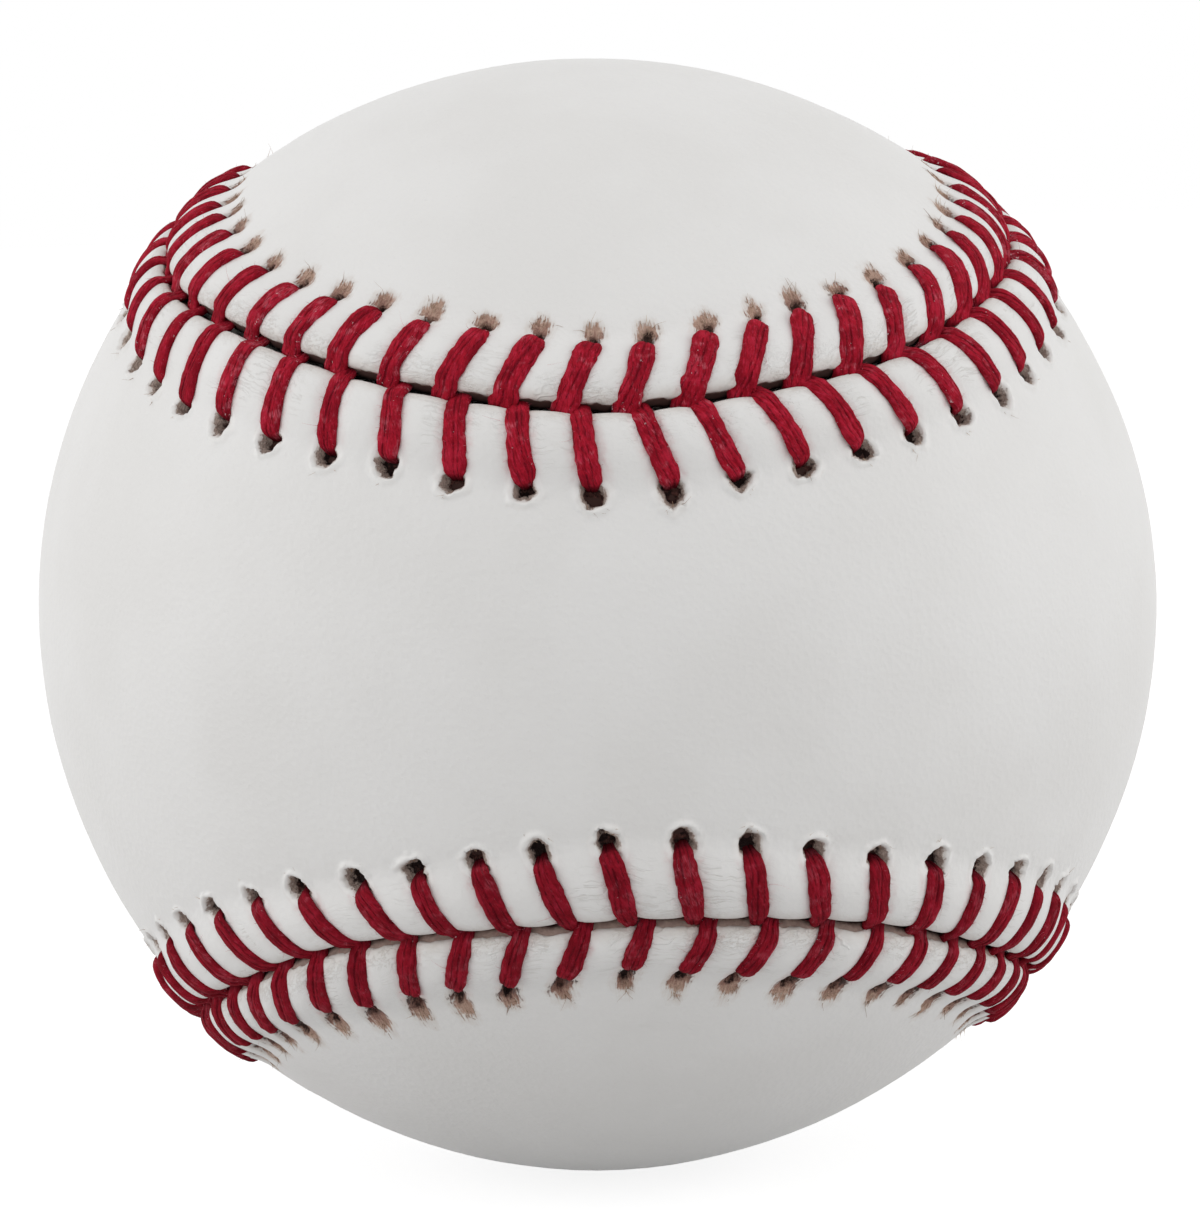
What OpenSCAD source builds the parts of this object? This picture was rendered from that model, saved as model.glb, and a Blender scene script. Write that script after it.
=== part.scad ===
// Baseball: cushioned cork centre, four yarn windings and a leather cover of two
// figure-eight panels, sewn edge to edge along one closed seam.
//
// Axes: origin at the ball's centre, +Z up. The front panel's narrow waist faces -Y
// and its two lobes wrap round to +X and -X. The back panel's waist faces +Y, and its
// lobes cover the top and the bottom.

/* [Ball] */
// Diameter over the smooth leather
ball_d = 74; // [72:0.5:76]
// Thickness of the leather
cover_t = 1.3; // [1:0.1:1.5]

/* [Cushioned centre] */
// Diameter of the cork core
core_d = 20.6; // [18:0.1:24]
// Wall of the black rubber half shells
black_shell_t = 4; // [3:0.1:5]
// Thickness of the washer between the half shells
washer_t = 0.8; // [0.5:0.1:1.5]
// Wall of the red rubber layer
red_layer_t = 2.4; // [1.5:0.1:3]

/* [Windings] */
// Thickness of the white wool winding
white_wool_t = 1.8; // [1:0.1:3]
// Thickness of the outer grey wool winding
grey_wool_t = 2.3; // [1:0.1:4]
// Thickness of the fine finishing winding
finish_yarn_t = 0.5; // [0.3:0.1:1]

/* [Seam line] */
// Narrowest width of a panel, over the curve of the ball
waist_w = 31; // [27:0.5:34]
// Angle by which the seam swings to and fro on its way round
seam_swing = 22.6; // [20:0.2:24]
// Open gap between the two cut edges
seam_gap = 0.4; // [0.2:0.1:0.6]

/* [Raised seam] */
// Height of the padded roll above the smooth leather
ridge_h = 0.8; // [0.5:0.1:1]
// Width of the rolled edge, from the gap to the crest
roll_w = 2; // [1.8:0.1:2.2]
// Height of the hollow under the roll, where the thread runs back
thread_bed_h = 0.6; // [0.6:0.05:0.8]

/* [Stitching] */
// Number of stitches along the seam, each with a leg on both panels
stitch_count = 108; // [96:1:112]
// Distance from the seam line to the row of holes
hole_row = 4.9; // [4.8:0.1:5.3]
// Diameter of an awl hole
hole_d = 1.5; // [1.4:0.05:1.7]
// How far a hole lies behind the place where its leg meets the gap
leg_slant = 1.7; // [1:0.1:1.9]
// Shift of the front panel's legs against the back panel's
leg_shift = 0.6; // [0:0.1:1]
// Distance from the seam line at which a leg enters the gap
leg_end = 0.35; // [0.3:0.05:0.6]
// Depth in its hole at which a leg ends
hole_dip = 0.45; // [0.3:0.05:0.5]
// Thickness of one of the two strands of a leg
strand_d = 0.55; // [0.4:0.05:0.6]
// Distance between the two strands
strand_pitch = 0.48; // [0.35:0.01:0.5]

/* [Clearances] */
// Room between one sphere of the centre or the windings and the next
layer_gap = 0.05; // [0.02:0.01:0.1]
// Room between the windings and the flat-faceted underside of the leather
cover_gap = 0.2; // [0.15:0.05:0.3]
// Room between a thread and what it lies on
thread_gap = 0.08; // [0.05:0.01:0.12]

/* [Hidden] */
ball_r = ball_d / 2;
seam_columns = 160;
rung_steps = 10;
roll_steps = 3;
slope_steps = 4;
sphere_fn = 96;
strand_fn = 16;
hole_fn = 24;

// Radii of the layers, from the leather inwards and from the core outwards
winding_r = ball_r - cover_t - cover_gap;
grey_outer_r = winding_r - finish_yarn_t - layer_gap;
white_outer_r = grey_outer_r - grey_wool_t - layer_gap;
grey_inner_r = white_outer_r - white_wool_t - layer_gap;
shell_inner_r = core_d / 2 + layer_gap;
shell_outer_r = shell_inner_r + black_shell_t;
red_inner_r = shell_outer_r + layer_gap;
red_outer_r = red_inner_r + red_layer_t;

// Legs of the stitches: an arc from the gap over the crest of the roll into the hole
edge_off = seam_gap / 2;
crest_off = edge_off + roll_w;
lay = thread_gap + strand_d / 2;
leg_tilt = atan(leg_slant / (hole_row - leg_end));
crest_to_hole = (hole_row - crest_off) / cos(leg_tilt);
crest_to_gap = (crest_off - leg_end) / cos(leg_tilt);
crest_share = (crest_off - leg_end) / (hole_row - leg_end);
leg_drop = ridge_h + lay + hole_dip + pow(crest_to_hole, 2) / ball_d;
leg_r = (pow(crest_to_hole, 2) + pow(leg_drop, 2)) / (2 * leg_drop);

// Raised seam, measured from the seam line over the curve of the ball. The threads draw
// the leather into a roll, so its section follows the arc of the slanting legs.
roll_r = (leg_r - lay) * pow(cos(leg_tilt), 2);
foot_off = hole_row - hole_d / 4;
under_off = hole_row + hole_d / 2 + thread_gap;
under_end = under_off + 2 * thread_bed_h;

cork_colour = [0.62, 0.45, 0.28];
black_rubber = [0.10, 0.10, 0.10];
red_rubber = [0.62, 0.12, 0.12];
grey_wool = [0.55, 0.54, 0.52];
white_wool = [0.90, 0.88, 0.83];
white_leather = [0.93, 0.92, 0.90];
red_thread = [0.70, 0.07, 0.13];

// ---- Seam line -----------------------------------------------------------------

function unit(v) = v / norm(v);
function deg_of(arc) = arc / ball_r * 180 / PI;

// Point of the seam on a unit sphere. One lap is a turn of 720 degrees.
waist_angle = deg_of(waist_w / 2);
function seam_at(turn) =
    let(tilt = 90 - (90 - waist_angle) * cos(turn),
        heading = turn / 2 + seam_swing * sin(2 * turn))
    [sin(tilt) * sin(heading), -cos(tilt), sin(tilt) * cos(heading)];

// Length along the seam as a table of [length, turn], for even spacing
lap_steps = 720;
lap_points = [for (i = [0:lap_steps]) seam_at(i * 720 / lap_steps)];
lap_lengths = [
    for (i = 0, total = 0; i <= lap_steps;
         total = total + (i < lap_steps ? ball_r * norm(lap_points[i + 1] - lap_points[i]) : 0),
         i = i + 1) total
];
seam_length = lap_lengths[lap_steps];
lap_table = [for (i = [0:lap_steps]) [lap_lengths[i], i * 720 / lap_steps]];
function wrap(s) = s - seam_length * floor(s / seam_length);
function turn_at(s) = lookup(wrap(s), lap_table);

// Direction of the point at length s, off to one side of the seam.
// Positive offsets lie on the back panel and negative ones on the front panel.
function beside_seam(s, off) =
    let(turn = turn_at(s),
        here = seam_at(turn),
        along = unit(seam_at(turn + 0.5) - seam_at(turn - 0.5)),
        across = cross(here, along))
    here * cos(deg_of(off)) + across * sin(deg_of(off));

// ---- Centre and windings -------------------------------------------------------

module shell(outer_r, inner_r) {
    difference() {
        sphere(r = outer_r, $fn = sphere_fn);
        sphere(r = inner_r, $fn = sphere_fn);
    }
}

// Half shell on the +Y side, cut back by half the washer
module half_shell() {
    difference() {
        shell(shell_outer_r, shell_inner_r);
        translate([-ball_r, washer_t / 2 + layer_gap - ball_r, -ball_r])
            cube([ball_d, ball_r, ball_d]);
    }
}

module cork_core() {
    color(cork_colour) sphere(r = core_d / 2, $fn = sphere_fn);
}

module black_half_shell_back() {
    color(black_rubber) half_shell();
}

module black_half_shell_front() {
    color(black_rubber) rotate(180) half_shell();
}

module shell_washer() {
    rim_r = sqrt(pow(shell_outer_r, 2) - pow(washer_t / 2, 2));
    color(red_rubber)
        rotate([90, 0, 0])
            rotate_extrude($fn = sphere_fn)
                translate([shell_inner_r, -washer_t / 2])
                    square([rim_r - shell_inner_r, washer_t]);
}

module red_rubber_layer() {
    color(red_rubber) shell(red_outer_r, red_inner_r);
}

module grey_wool_winding_inner() {
    color(grey_wool) shell(grey_inner_r, red_outer_r + layer_gap);
}

module white_wool_winding() {
    color(white_wool) shell(white_outer_r, grey_inner_r + layer_gap);
}

module grey_wool_winding_outer() {
    color(grey_wool) shell(grey_outer_r, white_outer_r + layer_gap);
}

module finishing_winding() {
    color(white_wool) shell(winding_r, grey_outer_r + layer_gap);
}

// ---- Leather panels ------------------------------------------------------------

// Rings that follow the seam, each [distance from the seam line, height above the ball],
// from the foot of the raised seam over the crest to the cut edge, and back underneath
function bell(t) = (1 + cos(180 * t)) / 2;
slope_rings = [
    for (i = [slope_steps:-1:1])
        [crest_off + (foot_off - crest_off) * i / slope_steps, ridge_h * bell(i / slope_steps)]
];
roll_rings = [
    for (i = [0:roll_steps])
        let(a = asin(roll_w / roll_r) * i / roll_steps)
        [crest_off - roll_r * sin(a), ridge_h - roll_r * (1 - cos(a))]
];
under_rings = [
    [edge_off, thread_bed_h - cover_t], [under_off, thread_bed_h - cover_t],
    [under_end, -cover_t]
];
panel_rings = concat(slope_rings, roll_rings, under_rings);

// The panel is a ladder: rungs cross it from one side of its seam to the other.
// first is the column at the tip of a lobe, where the rungs start.
function slerp(a, b, t) =
    let(w = acos(min(1, a * b)))
    (a * sin((1 - t) * w) + b * sin(t * w)) / sin(w);

function rung_points(ring, first, r) = [
    for (j = [1:seam_columns / 2 - 1])
        for (k = [1:rung_steps - 1])
            r * slerp(ring[(first + j) % seam_columns],
                      ring[(first - j + seam_columns) % seam_columns], k / rung_steps)
];

function rung_index(j, k, ring_start, rung_start, first) =
    j == 0 || j == seam_columns / 2 ? ring_start + (first + j) % seam_columns
    : k == 0 ? ring_start + (first + j) % seam_columns
    : k == rung_steps ? ring_start + (first - j + seam_columns) % seam_columns
    : rung_start + (j - 1) * (rung_steps - 1) + k - 1;

function ladder_faces(ring_start, rung_start, first) = [
    for (j = [0:seam_columns / 2 - 1])
        for (k = [0:rung_steps - 1])
            let(a = rung_index(j, k, ring_start, rung_start, first),
                b = rung_index(j + 1, k, ring_start, rung_start, first),
                c = rung_index(j + 1, k + 1, ring_start, rung_start, first),
                d = rung_index(j, k + 1, ring_start, rung_start, first))
            each [if (b != c) [a, b, c], if (a != d) [a, c, d]]
];

function flipped(faces) = [for (f = faces) [f[0], f[2], f[1]]];

// side is 1 for the back panel and -1 for the front panel
module panel_blank(side) {
    first = side == 1 ? 0 : seam_columns / 4;
    ring_count = len(panel_rings);
    dirs = [
        for (ring = panel_rings)
            [for (i = [0:seam_columns - 1])
                beside_seam(seam_length * i / seam_columns, side * ring[0])]
    ];
    ring_points = [
        for (n = [0:ring_count - 1])
            for (dir = dirs[n]) dir * (ball_r + panel_rings[n][1])
    ];
    outer_rungs = rung_points(dirs[0], first, ball_r);
    inner_rungs = rung_points(dirs[ring_count - 1], first, ball_r - cover_t);
    outer_start = len(ring_points);
    inner_start = outer_start + len(outer_rungs);
    band_faces = [
        for (n = [0:ring_count - 2])
            for (i = [0:seam_columns - 1])
                let(a = n * seam_columns + i,
                    b = n * seam_columns + (i + 1) % seam_columns,
                    c = b + seam_columns,
                    d = a + seam_columns)
                each [[a, b, c], [a, c, d]]
    ];
    outer_faces = ladder_faces(0, outer_start, first);
    inner_faces = ladder_faces((ring_count - 1) * seam_columns, inner_start, first);
    faces = concat(band_faces, flipped(outer_faces), inner_faces);
    polyhedron(points = concat(ring_points, outer_rungs, inner_rungs),
               faces = side == 1 ? faces : flipped(faces), convexity = 6);
}

// ---- Stitches ------------------------------------------------------------------

// Where leg k of one panel meets the gap, as a length along the seam
function leg_at(k, side) = seam_length * k / stitch_count + (side == 1 ? 0 : leg_shift);
function gap_dir(k, side) = beside_seam(leg_at(k, side), side * leg_end);
function hole_dir(k, side) = beside_seam(leg_at(k, side) + leg_slant, side * hole_row);

// Places its children in the plane through the ball's centre that holds two directions:
// Y points at up_dir, and X points away from other_dir.
module in_plane(up_dir, other_dir) {
    x = unit(up_dir * (up_dir * other_dir) - other_dir);
    z = cross(x, up_dir);
    multmatrix([
        [x[0], up_dir[0], z[0], 0],
        [x[1], up_dir[1], z[1], 0],
        [x[2], up_dir[2], z[2], 0],
        [0, 0, 0, 1]
    ]) children();
}

// Two strands side by side, swept about a centre on the Y axis from one angle to another
module strand_arc(centre_y, radius, from, to) {
    translate([0, centre_y, 0])
        rotate(from)
            rotate_extrude(angle = to - from, $fn = sphere_fn)
                for (z = [-0.5, 0.5])
                    translate([radius, z * strand_pitch])
                        circle(d = strand_d, $fn = strand_fn);
}

// The part of a leg that shows: out of the gap, over the roll and down into its hole
module leg_over(k, side) {
    gap = gap_dir(k, side);
    crest = slerp(gap, hole_dir(k, side), crest_share);
    in_plane(crest, gap)
        strand_arc(ball_r + ridge_h + lay - leg_r, leg_r,
                   90 - asin(crest_to_hole / leg_r), 90 + asin(crest_to_gap / leg_r));
}

// The part under the leather: on the winding, from the hole to the next stitch's gap
module leg_under(k, side) {
    hole = hole_dir(k, side);
    next_gap = gap_dir(k + 1, side);
    in_plane(hole, next_gap)
        strand_arc(0, winding_r + lay, 90, 90 + acos(hole * next_gap));
}

module stitches(side) {
    for (k = [0:stitch_count - 1]) {
        leg_over(k, side);
        leg_under(k, side);
    }
}

module stitch_holes(side) {
    for (k = [0:stitch_count - 1]) {
        hole = hole_dir(k, side);
        in_plane(hole, gap_dir(k, side))
            translate([0, winding_r, 0])
                rotate([-90, 0, 0]) cylinder(d = hole_d, h = 2 * cover_t, $fn = hole_fn);
    }
}

module cover_panel(side) {
    difference() {
        panel_blank(side);
        stitch_holes(side);
    }
}

module cover_panel_front() {
    color(white_leather) cover_panel(-1);
}

module cover_panel_back() {
    color(white_leather) cover_panel(1);
}

module stitches_front_panel() {
    color(red_thread) stitches(-1);
}

module stitches_back_panel() {
    color(red_thread) stitches(1);
}

cork_core();
black_half_shell_front();
black_half_shell_back();
shell_washer();
red_rubber_layer();
grey_wool_winding_inner();
white_wool_winding();
grey_wool_winding_outer();
finishing_winding();
cover_panel_front();
cover_panel_back();
stitches_front_panel();
stitches_back_panel();
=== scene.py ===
import math

import bpy
import numpy as np
from mathutils import Matrix, Vector


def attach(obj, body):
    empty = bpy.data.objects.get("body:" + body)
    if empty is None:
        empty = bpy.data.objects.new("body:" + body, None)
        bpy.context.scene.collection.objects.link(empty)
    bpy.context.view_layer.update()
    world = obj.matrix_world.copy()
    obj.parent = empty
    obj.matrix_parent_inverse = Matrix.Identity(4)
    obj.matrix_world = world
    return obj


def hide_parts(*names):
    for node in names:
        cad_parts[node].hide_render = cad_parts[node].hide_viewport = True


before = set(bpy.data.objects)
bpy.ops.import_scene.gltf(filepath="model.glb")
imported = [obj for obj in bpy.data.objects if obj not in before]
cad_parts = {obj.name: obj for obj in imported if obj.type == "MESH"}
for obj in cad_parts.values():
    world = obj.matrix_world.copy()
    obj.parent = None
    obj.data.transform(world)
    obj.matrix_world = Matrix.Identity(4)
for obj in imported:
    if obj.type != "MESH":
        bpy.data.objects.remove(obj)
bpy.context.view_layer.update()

# Lengths are in millimetres until a mesh is written.
MM = 0.001
BALL_R = 37.0
STITCHES = 108
WAIST = 31.0
SWING = math.radians(22.6)
BACK, FRONT = 1, -1      # the side of the seam on which a panel and its legs lie
LEATHER = 1.3

# Distances from the seam line over the curve of the ball
EDGE_OFF = 0.37          # the cut edge
CREST_OFF = 2.2          # top of the padded roll
FOOT_OFF = 5.6           # where the roll has run out
HOLE_ROW = 4.95          # the row of awl holes
BAND_OFF = 8.2           # where the finely meshed band ends
RING_OFF = 9.1           # first coarse ring
COLUMNS = 18             # mesh columns for each stitch
COARSE = 4               # columns joined into one away from the seam
RIM_U = 0.45             # U from a leg's middle line to its rims, in stitches

# The wander of the gap, as waves
GAP_WANDER = ((0.30, 14, 1.23), (0.16, 6, -3.08), (0.165, 11, -1.5), (0.22, 1, 0.14))

# Height of the roll's crest and of the cut edge under a tight leg, and what they gain between legs
CREST_RISE, CREST_SWELL = 0.52, 0.30
EDGE_RISE, EDGE_SWELL = -0.24, 0.32


# ---- Seam line ----

def seam_at(turn):
    """Points of the seam on a unit sphere; one lap is a turn of four pi."""
    tilt = math.pi / 2 - (math.pi / 2 - WAIST / 2 / BALL_R) * np.cos(turn)
    heading = turn / 2 + SWING * np.sin(2 * turn)
    return np.stack([np.sin(tilt) * np.sin(heading), -np.cos(tilt),
                     np.sin(tilt) * np.cos(heading)], -1)


LAP_TURNS = np.linspace(0, 4 * math.pi, 20001)
LAP_LENGTHS = np.r_[0, np.cumsum(np.linalg.norm(np.diff(seam_at(LAP_TURNS), axis=0),
                                                axis=1))] * BALL_R
SEAM_LENGTH = LAP_LENGTHS[-1]
PITCH = SEAM_LENGTH / STITCHES


def unit(v):
    return v / np.linalg.norm(v, axis=-1, keepdims=True)


def smooth_step(low, high, v):
    t = np.clip((v - low) / (high - low), 0, 1)
    return t * t * (3 - 2 * t)


def waves(lap, *parts):
    """The unevenness of hand sewing, as waves given by size, count in a lap and start."""
    return sum(size * np.sin(count * lap + start) for size, count, start in parts)


def beside_seam(s, off):
    """Unit vectors to the points at length s, off to one side; the back panel's is positive."""
    turn = np.interp(np.mod(s, SEAM_LENGTH), LAP_LENGTHS, LAP_TURNS)
    here = seam_at(turn)
    along = unit(seam_at(turn + 0.004) - seam_at(turn - 0.004))
    across = np.cross(here, along)
    drift = 0.15 + waves(2 * math.pi * s / SEAM_LENGTH, *GAP_WANDER)
    angle = ((off + drift * np.exp(-(off / 3.2) ** 2)) / BALL_R)[..., None]
    return here * np.cos(angle) + across * np.sin(angle)


def out_of_round(points):
    """Moves points in or out a little, because a wound ball isn't a true sphere."""
    r = np.linalg.norm(points, axis=-1, keepdims=True)
    x, z = points[..., :1] / r, points[..., 2:] / r
    rise = 0.11 * (x * x + z * z) - 0.28 * x - 0.20 * z + 0.10 * (x * x - z * z) - 0.10 * x * z \
        + 0.12 * (x ** 3 - 3 * x * z * z) + 0.16 * (3 * x * x * z - z ** 3)
    return points * (1 + rise * smooth_step(35.75, 36.6, r) / r)


# ---- Noise for the meshes ----

LATTICE = np.random.default_rng(11).random(4096).astype(np.float32)


def value_noise(points, size):
    """Smooth noise from -1 to 1 with bumps of about the given size."""
    p = points / size + 1000.0
    cell = np.floor(p).astype(np.int64)
    t = p - cell
    t = t * t * (3 - 2 * t)
    total = 0.0
    for corner in range(8):
        step = np.array([corner & 1, corner >> 1 & 1, corner >> 2 & 1])
        c = cell + step
        key = (c[..., 0] * 73856093) ^ (c[..., 1] * 19349663) ^ (c[..., 2] * 83492791)
        weight = np.prod(np.where(step == 1, t, 1 - t), axis=-1)
        total = total + LATTICE[key & 4095] * weight
    return total * 2 - 1


# ---- Stitch legs: where each one lies ----

class Legs:
    """The legs of one panel: where each meets the gap, how it leans and where it ends.

    end is where the thread goes in, dark where its hole ends and torn where the suede does.
    """

    def __init__(self, side):
        self.side = side
        self.draw = np.random.default_rng(21 + side)
        lap = 2 * math.pi * np.arange(STITCHES) / STITCHES
        upper = 0.5 + 0.5 * np.cos(lap)      # 1 at the upper seam's middle, 0 at the lower's
        if side == BACK:
            self.over = upper                # 1 where the legs' feet lie on top at the gap
            phase = -0.140 + 0.170 * np.cos(lap) - 0.145 * np.sin(2 * lap) \
                + waves(lap, (0.10, 6, 0.9), (0.065, 9, -2.7))
            slant = 0.52 + 0.05 * np.cos(lap) + 0.535 * np.sin(2 * lap) \
                + waves(lap, (0.107, 16, 0.72), (0.073, 22, -0.92))
            self.end = 3.65 + 0.75 * upper + self.vary(0.12)
            self.dark = 5.10 + self.vary(0.08)
            self.torn = 6.16 - 0.18 * upper + self.vary(0.12)
        else:
            self.over = 1 - upper
            phase = 0.122 + 0.175 * np.cos(lap) - 0.075 * np.sin(2 * lap) \
                + waves(lap, (0.08, 11, -2.3), (0.072, 10, 1.55))
            slant = 0.33 + 0.16 * np.sin(2 * lap) \
                + waves(lap, (0.094, 14, -2.56), (0.068, 11, 0.38))
            self.end = 4.30 + 0.32 * upper + self.vary(0.12)
            self.dark = 5.47 + 0.14 * upper + self.vary(0.10)
            self.torn = self.dark + 0.45 + self.vary(0.06)
        self.gap = PITCH * (np.arange(STITCHES) + phase + self.vary(0.018))
        self.slant = PITCH * (slant + self.vary(0.025))
        self.bow = 0.22 + self.vary(0.09)
        self.width = 1 + self.vary(0.06)
        self.pull = 1 + self.vary(0.18)
        self.aside = 0.07 * self.slant + self.vary(0.07)    # of the hole, along the seam
        self.raggedness = 1 + self.vary(0.25)
        self.corner = self.vary(1.0)         # which way the torn corners of the hole point
        self.upper = upper

    def vary(self, size):
        return size * self.draw.standard_normal(STITCHES)

    def at(self, k, off):
        """Length along the seam of leg k at a distance off from the seam line."""
        lap, k = np.divmod(k, STITCHES)
        t = np.clip(off / HOLE_ROW, -0.2, 1)
        swing = t + self.bow[k] * t * (1 - t)
        return lap * SEAM_LENGTH + self.gap[k] + self.slant[k] * swing


LEGS = {side: Legs(side) for side in (BACK, FRONT)}


def edge_line(x):
    """Distance of the cut edge from the seam line; the leather bulges between the legs."""
    return EDGE_OFF - 0.06 * (1 - np.exp(-(x / 0.8) ** 2))


def swelling(off):
    """The broad rise of the whole band round the seam."""
    return 0.20 * np.exp(-(np.maximum(off, 0) / 7.0) ** 2)


def leather_height(x, off, pull):
    """Height above the ball at x along the seam from the nearest leg and off from the seam."""
    free = 1 - pull * np.exp(-(x / 0.85) ** 2)
    crest = CREST_RISE + CREST_SWELL * free
    edge = EDGE_RISE + EDGE_SWELL * free
    rise = np.clip((CREST_OFF - off) / (CREST_OFF - edge_line(x)), 0, 1)
    roll = edge + (crest - edge) * (1 - rise ** 2.5) ** (1 / 2.2)
    fall = np.clip((off - CREST_OFF) / (FOOT_OFF - CREST_OFF), 0, 1)
    slope = crest * (1 + np.cos(math.pi * fall)) / 2
    dent = 0.14 * np.exp(-(x / 1.1) ** 2 - ((off - HOLE_ROW) / 0.9) ** 2)
    return np.where(off < CREST_OFF, roll, slope) - dent + swelling(off)


# ---- Mesh writing ----

HAIR_SLOT = 1            # material slot of the loose hairs
HAIR_V = 40.0            # V of the loose hairs, which have no place on the seam


class MeshParts:
    """Collects vertices in millimetres, faces of any size, UVs and named vertex values."""

    def __init__(self, **values):
        """values are the vertex values' names, with what a vertex has if it is given none."""
        self.defaults = values
        self.points, self.loops, self.sizes, self.uvs, self.slots = [], [], [], [], []
        self.values = {name: [] for name in values}
        self.count = 0

    def add_points(self, points, **given):
        points = np.asarray(points, float).reshape(-1, 3)
        start = self.count
        self.points.append(points)
        for name, usual in self.defaults.items():
            value = np.asarray(given.get(name, usual), np.float32).reshape(-1)
            self.values[name].append(np.broadcast_to(value, (len(points),)))
        self.count += len(points)
        return start + np.arange(len(points))

    def add_faces(self, corners, uv, slot=0):
        """corners is (faces, n) of vertex numbers and uv is (faces, n, 2)."""
        corners = np.asarray(corners)
        self.loops.append(corners.ravel())
        self.sizes.append(np.full(len(corners), corners.shape[1]))
        self.uvs.append(np.asarray(uv, np.float32).reshape(-1, 2))
        self.slots.append(np.full(len(corners), slot))

    def build(self, name, materials):
        points = out_of_round(np.concatenate(self.points)) * MM
        loops, sizes = np.concatenate(self.loops), np.concatenate(self.sizes)
        mesh = bpy.data.meshes.new(name)
        mesh.vertices.add(len(points))
        mesh.loops.add(len(loops))
        mesh.polygons.add(len(sizes))
        mesh.vertices.foreach_set("co", points.astype(np.float32).ravel())
        mesh.loops.foreach_set("vertex_index", loops.astype(np.int32))
        starts = np.r_[0, np.cumsum(sizes)[:-1]]
        mesh.polygons.foreach_set("loop_start", starts.astype(np.int32))
        mesh.polygons.foreach_set("material_index", np.concatenate(self.slots).astype(np.int32))
        mesh.polygons.foreach_set("use_smooth", np.ones(len(sizes), bool))
        layer = mesh.uv_layers.new(name="seam")
        layer.data.foreach_set("uv", np.concatenate(self.uvs).ravel())
        for value_name, value in self.values.items():
            attribute = mesh.attributes.new(value_name, "FLOAT", "POINT")
            attribute.data.foreach_set("value", np.concatenate(value))
        for material in materials:
            mesh.materials.append(material)
        mesh.update(calc_edges=True)
        mesh.validate()
        piece = bpy.data.objects.new(name, mesh)
        bpy.context.scene.collection.objects.link(piece)
        return piece


def grid_faces(ids, u, v):
    """Quads of a grid of vertex numbers (rows, columns) with its UVs; its rows are rings."""
    rows, columns = ids.shape
    i, j = np.meshgrid(np.arange(rows - 1), np.arange(columns), indexing="ij")
    i, j = i.ravel(), j.ravel()
    k = (j + 1) % columns
    corners = np.stack([ids[i, j], ids[i, k], ids[i + 1, k], ids[i + 1, j]], -1)
    lap = np.where(k < j, float(STITCHES), 0.0)
    uv = np.stack([
        np.stack([u[i, j], v[i, j]], -1), np.stack([u[i, k] + lap, v[i, k]], -1),
        np.stack([u[i + 1, k] + lap, v[i + 1, k]], -1), np.stack([u[i + 1, j], v[i + 1, j]], -1)
    ], 1)
    return corners, uv


def fibres(parts, roots, directions, lengths, draw, radius, sag, curl, steps=3):
    """Thin three-sided hairs that leave their roots and curl, in the piece's second material."""
    side = unit(np.cross(directions, draw.standard_normal(directions.shape)))
    other = np.cross(directions, side)
    bend = draw.uniform(-curl, curl, (len(roots), 1))
    ring = np.arange(3) * 2 * math.pi / 3
    t = np.linspace(0, 1, steps)[:, None]
    for i in range(len(roots)):
        line = roots[i] + lengths[i] * (directions[i] * t + side[i] * bend[i] * t * t * 1.6
                                        - unit(roots[i]) * sag * t * t)
        offsets = np.cos(ring)[None, :, None] * side[i] + np.sin(ring)[None, :, None] * other[i]
        tube = line[:, None, :] + offsets * radius * (1 - 0.75 * t[:, :, None])
        ids = parts.add_points(tube).reshape(steps, 3)
        corners, uv = grid_faces(ids, np.zeros(ids.shape), np.full(ids.shape, HAIR_V))
        uv[:, :, 0] = 0.0
        parts.add_faces(corners, uv, HAIR_SLOT)
        for cap in (ids[-1:, :], ids[:1, ::-1]):
            parts.add_faces(cap, np.full((1, 3, 2), (0.0, HAIR_V)), HAIR_SLOT)


# ---- Shader expressions ----

class Expr:
    """An output of a node, with the operators that shader maths needs."""

    def __init__(self, shader, socket):
        self.shader, self.socket = shader, socket

    def out(self, name):
        """Another output of the same node."""
        return Expr(self.shader, self.socket.node.outputs[name])

    def maths(self, operation, *others, clamp=False):
        return self.shader.node("ShaderNodeMath", {"operation": operation, "use_clamp": clamp},
                                dict(enumerate([self, *others])))

    def __add__(self, other):
        return self.maths("ADD", other)

    __radd__ = __add__

    def __sub__(self, other):
        return self.maths("SUBTRACT", other)

    def __rsub__(self, other):
        return (self * -1) + other

    def __mul__(self, other):
        return self.maths("MULTIPLY", other)

    def __truediv__(self, other):
        return self.maths("DIVIDE", other)

    def __abs__(self):
        return self.maths("ABSOLUTE")

    def floor(self):
        return self.maths("FLOOR")

    def sine(self):
        return self.maths("SINE")

    def clamp(self):
        return self.maths("ADD", 0.0, clamp=True)

    def largest(self, other):
        return self.maths("MAXIMUM", other)

    def step(self, low, high):
        """A smooth step from 0 at low to 1 at high; low may be the larger."""
        return self.shader.node("ShaderNodeMapRange", {"interpolation_type": "SMOOTHSTEP"},
                                {"Value": self, "From Min": low, "From Max": high})


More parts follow.
